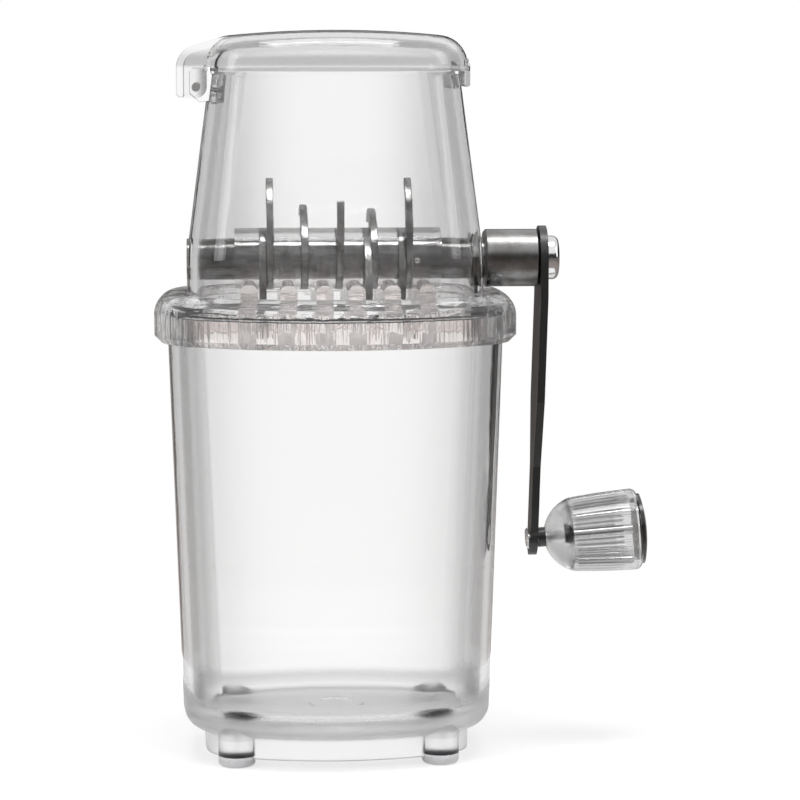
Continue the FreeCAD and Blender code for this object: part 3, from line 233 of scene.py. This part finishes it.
def cut_plastic(name, tint, edge, share, bend, swell):
    """Clear plastic with small upright ribs up to a height and flow lines over it."""
    made, paint = material(name)
    colour = wall_tint_and_shade(paint, tint, edge, (0.05, 0.6), 0.95)
    x, y, z = paint.axes()
    upper = z.step(RIBS_TOP - RIBS_FADE, RIBS_TOP + RIBS_FADE)
    ribs = paint.noise(380.0, 2.0, (1, 1, 0.08))
    flow = paint.noise(260.0, 3.0, (0.1, 0.3, 1))
    height = ribs * (1.0 - upper) * (1.1 * MM) + flow * upper * swell
    return bare_plastic(made, paint, colour, SMOOTH, paint.bump(height, 1.0), share, bend)


def jar_plastic(name, tint, edge, turns, base_side_shade, frost):
    """The jar's walls are clear, and its thick base is frosted, with painted shade on its sides.

    The base's edge rises towards the jar's ends, as its rounded corners do.
    """
    made, paint = material(name)
    walls = wall_tint_and_shade(paint, tint, edge, turns, 0.9)
    x, y, z = paint.axes()
    normal = paint.node("ShaderNodeTexCoord")["Normal"]
    up = paint.node("ShaderNodeSeparateXYZ", {0: normal})["Z"]
    flat = (up * up).step(0.3, 0.8)
    lift = ((x * x) / (JAR_CORNER_REACH * JAR_CORNER_REACH)) ** 3 * JAR_CORNER_LIFT
    base = 1.0 - (z - lift).step(*JAR_BASE_TOP)
    # Painted shade on the sides of the thick base; its flat faces are painted plain white, without
    # the edge shade.
    colour = paint.mix(base * (1.0 - flat), walls, base_side_shade)
    colour = paint.mix(base * flat, colour, grey(1.0))
    colour = paint.mix(1.0 - z.step(*POSTS_TOP), colour, grey(0.98))
    roughness = fine_specks(paint, SMOOTH) + base * frost
    return bare_plastic(made, paint, colour, roughness, slow_waves(paint))


def lid_plastic(name, tint, shade, edge):
    """The lid's clear sides carry painted shade, in a broad band over a darker lower edge."""
    made, paint = material(name)
    walls = wall_tint_and_shade(paint, tint, edge, (0.0, 0.3), 0.8)
    x, y, z = paint.axes()
    band = z.step(*LID_BAND_LOW) * (1.0 - z.step(*LID_BAND_HIGH))
    brim = 1.0 - z.step(*LID_BRIM)
    # Painted shade in the band, and darker painted shade along the brim except at the hood.
    colour = paint.mix(band, walls, shade)
    colour = paint.mix(brim * (x - HOOD_SIDE).step(0.0, HOOD_FADE), colour, grey(0.6))
    return bare_plastic(made, paint, colour, 0.04, slow_waves(paint))


def fluted_plastic(name, tint, edge, groove_shade):
    """The grip has a misty dome, and painted shade runs along the bottoms of its flutes."""
    made, paint = material(name)
    walls = wall_tint_and_shade(paint, tint, edge, (0.0, 0.35), 0.7)
    x, y, z = paint.axes()
    rise, run = math.sin(KNOB_TILT), math.cos(KNOB_TILT)
    out, up = x - KNOB_PLACE[0], z - KNOB_PLACE[2]
    over = up * run - out * rise
    along = up * rise + out * run
    # Painted shade along the flutes, one dark line per flute round the grip's axis.
    ripple = (y.bearing(over) * FLUTE_COUNT).cosine()
    fluted = along.step(*FLUTES_START) * (1.0 - along.step(*FLUTES_END))
    colour = paint.mix(ripple.step(0.0, 1.0) * fluted, walls, groove_shade)
    mist = (1.0 - along.step(*KNOB_DOME_END)) * 0.2 + 0.05
    return bare_plastic(made, paint, colour, mist, slow_waves(paint))


def steel(name, dark, light, rough, turned=0.0, axis=(1, 1, 1), warm=0.0):
    """Bare steel with fine marks round its axis and a cloudy tone."""
    made, paint = material(name)
    cloud = paint.noise(160.0, 4.0, (1, 1, 1), 0.65)
    marks = paint.noise(2600.0, 2.0, axis)
    tone = cloud.step(0.3, 0.72) * 0.7 + marks.step(0.3, 0.7) * 0.3
    principled(paint, {
        "Base Color": paint.mix(tone, grey(dark, warm), grey(light)),
        "Metallic": 1.0,
        "Roughness": marks * 0.12 + rough,
        "Normal": paint.bump(marks, 0.00001, turned),
    })
    return made


def satin_black(name, level, rough):
    """Black with a fine grain and a little wear."""
    made, paint = material(name)
    grain = paint.noise(2400.0, 3.0)
    wear = paint.noise(70.0, 3.0)
    principled(paint, {
        "Base Color": paint.mix(wear.step(0.45, 0.8), grey(level), grey(level * 2.2)),
        "Roughness": grain * 0.18 + rough,
        "Normal": paint.bump(grain, 0.00003, 0.5),
        "Coat Weight": 0.25,
        "Coat Roughness": 0.2,
    })
    return made


# Painted shade in these plastics: every colour after the first, and the rim level. These are the
# edge shade where walls turn away from the eye, the jar base's shade, the lid's band and the grip's
# flute bottoms.
JAR = jar_plastic("clear_jar", grey(0.99), grey(0.62), (0.015, 0.24), grey(0.7), 0.32)
HOPPER = clear_plastic("clear_hopper", grey(0.99), grey(0.72), (0.004, 0.085))
COLLAR = cut_plastic("clear_housing", grey(0.99), grey(0.75), 0.97, 1.25, 1.6 * MM)
GRATE = cut_plastic("clear_grate", (0.98, 0.93, 0.915, 1), (0.88, 0.8, 0.785, 1), 0.97, 1.35,
                    0.6 * MM)
LID = lid_plastic("clear_lid", grey(0.97), grey(0.74), grey(0.7))
GRIP = fluted_plastic("clear_grip", grey(0.84), grey(0.5), grey(0.3))
HUB = clear_plastic("clear_hub", grey(0.93), grey(0.3), (0.5, 0.98), rim=0.5)
PAD = clear_plastic("soft_pad", (0.95, 0.94, 0.97, 1), grey(0.9), rough=0.3, share=0.4)
SHAFT_STEEL = steel("turned_steel", 0.05, 0.32, 0.12, 0.35, (6, 0.2, 0.2), 0.08)
SATIN = steel("satin_steel", 0.16, 0.3, 0.26, 0.6, (8, 0.2, 0.2), 0.03)
BLADE = steel("blade_steel", 0.1, 0.4, 0.16, 0.1, (1, 1, 1), 0.04)
SCREW = steel("bright_screw", 0.62, 0.85, 0.08)
PIN = steel("pale_pin", 0.75, 0.85, 0.4)
ARM = satin_black("black_arm", 0.012, 0.32)
WASHER = satin_black("dark_washer", 0.01, 0.35)
CAP = satin_black("dark_cap", 0.02, 0.12)

WEARS = {
    "container": JAR, "hopper": HOPPER, "collar": COLLAR, "grate": GRATE,
    "left_bearing": SHAFT_STEEL, "lid": LID, "knob_grip": GRIP,
    "grate_screws": SHAFT_STEEL, "hinge_pin": PIN, "drive_shaft": SHAFT_STEEL,
    "lock_pin": SCREW, "crank_bush": SATIN, "crank_arm": ARM, "crank_screw": SCREW,
    "knob_spindle": SCREW, "knob_washer": WASHER, "spindle_clip": PIN,
    "knob_cap": CAP,
}
for name, node in nodes.items():
    finish = WEARS.get(name)
    if name.startswith("hub_spacer"):
        finish = HUB
    elif name.startswith("blade"):
        finish = BLADE
    elif name.startswith("foot_pad"):
        finish = PAD
    node.data.materials.clear()
    node.data.materials.append(finish)


# Claws with rounded edges
def rounded_copy(name, source, width, sharp=50):
    """The solid of a node as a new piece whose sharp edges are rounded."""
    mesh = bmesh.new()
    mesh.from_mesh(source.data)
    bmesh.ops.remove_doubles(mesh, verts=mesh.verts[:], dist=0.000002)
    bmesh.ops.dissolve_limit(mesh, angle_limit=math.radians(1.0), verts=mesh.verts[:],
                             edges=mesh.edges[:])
    edges = [e for e in mesh.edges
             if len(e.link_faces) == 2 and e.calc_face_angle(0) > math.radians(sharp)]
    bmesh.ops.bevel(mesh, geom=edges, offset=width, offset_type="OFFSET", segments=4,
                    profile=0.5, affect="EDGES", clamp_overlap=True)
    for face in mesh.faces:
        face.smooth = True
    data = bpy.data.meshes.new(name)
    mesh.to_mesh(data)
    mesh.free()
    piece = bpy.data.objects.new(name, data)
    bpy.context.scene.collection.objects.link(piece)
    data.set_sharp_from_angle(angle=math.radians(40))
    data.materials.append(source.data.materials[0])
    return piece


for index in range(1, CLAW_COUNT + 1):
    source = nodes[f"blade_{index}"]
    claw = rounded_copy(f"claw_{index}", source, CLAW_ROUND)
    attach(claw, "rotor")
    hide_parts(f"blade_{index}")


# Studio
def seen_ray(paint):
    """1 for what the camera sees directly, in a mirror or through glass."""
    path = paint.node("ShaderNodeLightPath")
    return path["Is Camera Ray"].most(path["Is Glossy Ray"]).most(path["Is Transmission Ray"])


def make_floor():
    """Pale floor that keeps the shadow near the object and runs out into white."""
    data = bpy.data.meshes.new("floor")
    mesh = bmesh.new()
    bmesh.ops.create_grid(mesh, x_segments=1, y_segments=1, size=6.0)
    mesh.to_mesh(data)
    mesh.free()
    floor = bpy.data.objects.new("floor", data)
    bpy.context.scene.collection.objects.link(floor)
    floor.location.z = -0.0002
    made, paint = material("pale_floor")
    plain = paint.node("ShaderNodeBsdfDiffuse", {"Color": grey(0.8)})["BSDF"]
    dim = paint.node("ShaderNodeBsdfDiffuse", {"Color": grey(0.42)})["BSDF"]
    glow = paint.node("ShaderNodeEmission", {"Color": grey(1.0), "Strength": 0.66})["Emission"]
    near = paint.node("ShaderNodeAddShader", {0: dim, 1: glow})["Shader"]
    x, y, z = paint.axes()
    away = (x * x + y * y) ** 0.5
    white = paint.node("ShaderNodeEmission", {"Color": grey(1.0), "Strength": 1.0})["Emission"]
    # Seen through plastic, the floor is painted mostly white: painted light that lifts its shadow
    # under the object.
    through = paint.node("ShaderNodeLightPath")["Transmission Depth"].step(0.0, 1.0) * 0.8
    clear = away.step(0.1, 0.35).most(through)
    both = paint.node("ShaderNodeMixShader", {0: clear, 1: near, 2: white})["Shader"]
    paint.shade(paint.node("ShaderNodeMixShader", {0: seen_ray(paint), 1: plain, 2: both})["Shader"])
    data.materials.append(made)


def make_world():
    world = bpy.data.worlds.new("studio")
    bpy.context.scene.world = world
    world.use_nodes = True
    paint = Paint(world.node_tree)
    white = paint.node("ShaderNodeBackground", {"Color": grey(1.0), "Strength": 1.0})["Background"]
    fill = paint.node("ShaderNodeBackground", {"Color": grey(1.0), "Strength": 0.55})["Background"]
    mixed = paint.node("ShaderNodeMixShader", {0: seen_ray(paint), 1: fill, 2: white})["Shader"]
    paint.node("ShaderNodeOutputWorld", {"Surface": mixed})


def make_surround():
    """Dark studio flags round the object at eye level, seen only in its gloss.

    Rays that come out of plastic meet them faintly, so that its edges stay pale, and a
    little more strongly where they were mirrored by steel behind clear walls.
    """
    profile = [(0.16, 0.002), (0.4, 0.001), (1.3, 0.001), (1.5, 0.03), (1.6, 0.2), (1.6, 0.95)]
    count = 96
    mesh = bmesh.new()
    rings = []
    for radius, level in profile:
        turns = [2 * math.pi * k / count for k in range(count)]
        places = [(radius * math.cos(a), radius * math.sin(a), level) for a in turns]
        rings.append([mesh.verts.new(place) for place in places])
    for low, high in zip(rings, rings[1:]):
        for k in range(count):
            mesh.faces.new((low[k], low[(k + 1) % count], high[(k + 1) % count], high[k]))
    data = bpy.data.meshes.new("surround")
    mesh.to_mesh(data)
    mesh.free()
    card = bpy.data.objects.new("surround", data)
    bpy.context.scene.collection.objects.link(card)
    made, paint = material("flags")
    x, y, z = paint.axes()
    away = (x * x + y * y) ** 0.5
    ground = paint.mix(away.step(0.2, 1.0), (0.36, 0.32, 0.3, 1), (0.2, 0.18, 0.17, 1))
    colour = paint.mix(z.step(0.02, 0.3), ground, grey(0.035))
    top = paint.mix(z.step(0.7, 0.95), colour, grey(0.5))
    dark = paint.node("ShaderNodeEmission", {"Color": top, "Strength": 1.0})["Emission"]
    past = paint.node("ShaderNodeBsdfTransparent")["BSDF"]
    path = paint.node("ShaderNodeLightPath")
    mirrored = path["Glossy Depth"].step(0.0, 1.0)
    once = 1.0 - path["Glossy Depth"].step(1.0, 2.0)
    behind = path["Transmission Depth"].step(2.0, 3.0) * once
    spared = path["Is Transmission Ray"] * (0.78 - behind * 0.32)
    reflected = mirrored * (1.0 - spared)
    paint.shade(paint.node("ShaderNodeMixShader", {0: reflected, 1: past, 2: dark})["Shader"])
    data.materials.append(made)
    for ray in ("camera", "diffuse", "shadow", "volume_scatter"):
        setattr(card, f"visible_{ray}", False)


def make_lamp(name, place, aim, width, height, power):
    data = bpy.data.lights.new(name, "AREA")
    data.shape = "RECTANGLE"
    data.size, data.size_y = width, height
    data.energy = power
    lamp = bpy.data.objects.new(name, data)
    lamp.location = place
    lamp.rotation_euler = (Vector(aim) - Vector(place)).to_track_quat("-Z", "Y").to_euler()
    bpy.context.scene.collection.objects.link(lamp)


def make_camera():
    data = bpy.data.cameras.new("camera")
    data.lens, data.sensor_width = 130.4, 36.0
    camera = bpy.data.objects.new("camera", data)
    eye, aim = Vector((-0.03816, -0.99048, 0.24506)), Vector((0.02242, 0, 0.12146))
    camera.location = eye
    camera.rotation_euler = (aim - eye).to_track_quat("-Z", "Y").to_euler()
    bpy.context.scene.collection.objects.link(camera)
    bpy.context.scene.camera = camera


make_floor()
make_world()
make_surround()
make_camera()
make_lamp("top_light", (0.0, -0.15, 1.1), (0, 0, 0.1), 0.7, 0.3, 6.0)
make_lamp("left_light", (-1.0, -0.6, 0.6), (0, 0, 0.12), 0.4, 0.9, 3.5)
make_lamp("right_light", (1.1, -0.5, 0.7), (0, 0, 0.12), 0.4, 0.9, 3.0)

scene = bpy.context.scene
scene.view_settings.view_transform = "Standard"
scene.cycles.max_bounces = 32
scene.cycles.transmission_bounces = 32
scene.cycles.glossy_bounces = 12
